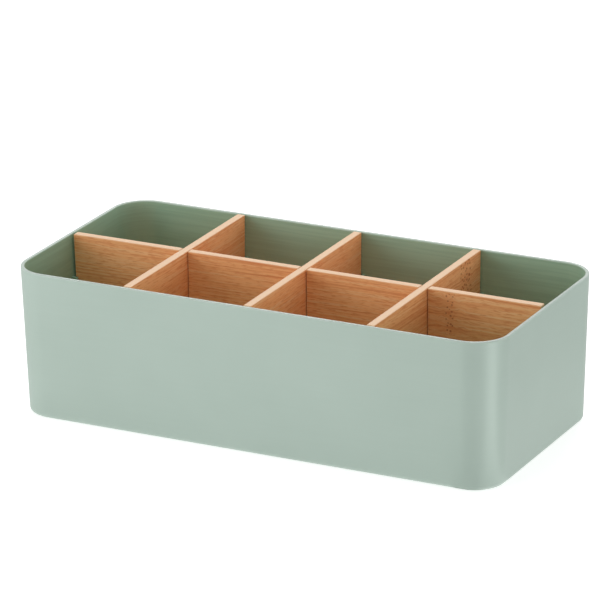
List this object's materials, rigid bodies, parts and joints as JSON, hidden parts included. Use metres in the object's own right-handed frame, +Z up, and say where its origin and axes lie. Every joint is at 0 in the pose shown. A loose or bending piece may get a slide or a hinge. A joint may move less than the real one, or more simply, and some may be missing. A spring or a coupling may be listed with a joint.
{
  "type": "compartment organizer",
  "caption": "Open rectangular plastic tub with rounded corners, parted into near-square compartments by interlocking bamboo slats that lift out.",
  "frame": {"origin": "on the ground, under the middle of the tub", "axes": "+X along the tub and the long divider, +Y across it from front to back, +Z up"},
  "size_m": [0.32, 0.154, 0.093],
  "materials": {
    "tub_plastic": "satin moulded plastic, sage green",
    "bamboo": "clear-lacquered carbonised bamboo strip"
  },
  "bodies": {
    "tub": {"tub": "tub_plastic"},
    "long_divider": {"long_divider": "bamboo"},
    "left_cross_divider": {"left_cross_divider": "bamboo"},
    "middle_cross_divider": {"middle_cross_divider": "bamboo"},
    "right_cross_divider": {"right_cross_divider": "bamboo"}
  },
  "joints": [
    {"name": "long_divider_lift", "type": "slide", "parent": "tub", "child": "long_divider", "axis": [0, 0, 1], "range_m": [0, 0.1]},
    {"name": "left_cross_divider_lift", "type": "slide", "parent": "long_divider", "child": "left_cross_divider", "axis": [0, 0, 1], "range_m": [0, 0.1]},
    {"name": "middle_cross_divider_lift", "type": "slide", "parent": "long_divider", "child": "middle_cross_divider", "axis": [0, 0, 1], "range_m": [0, 0.1]},
    {"name": "right_cross_divider_lift", "type": "slide", "parent": "long_divider", "child": "right_cross_divider", "axis": [0, 0, 1], "range_m": [0, 0.1]}
  ]
}
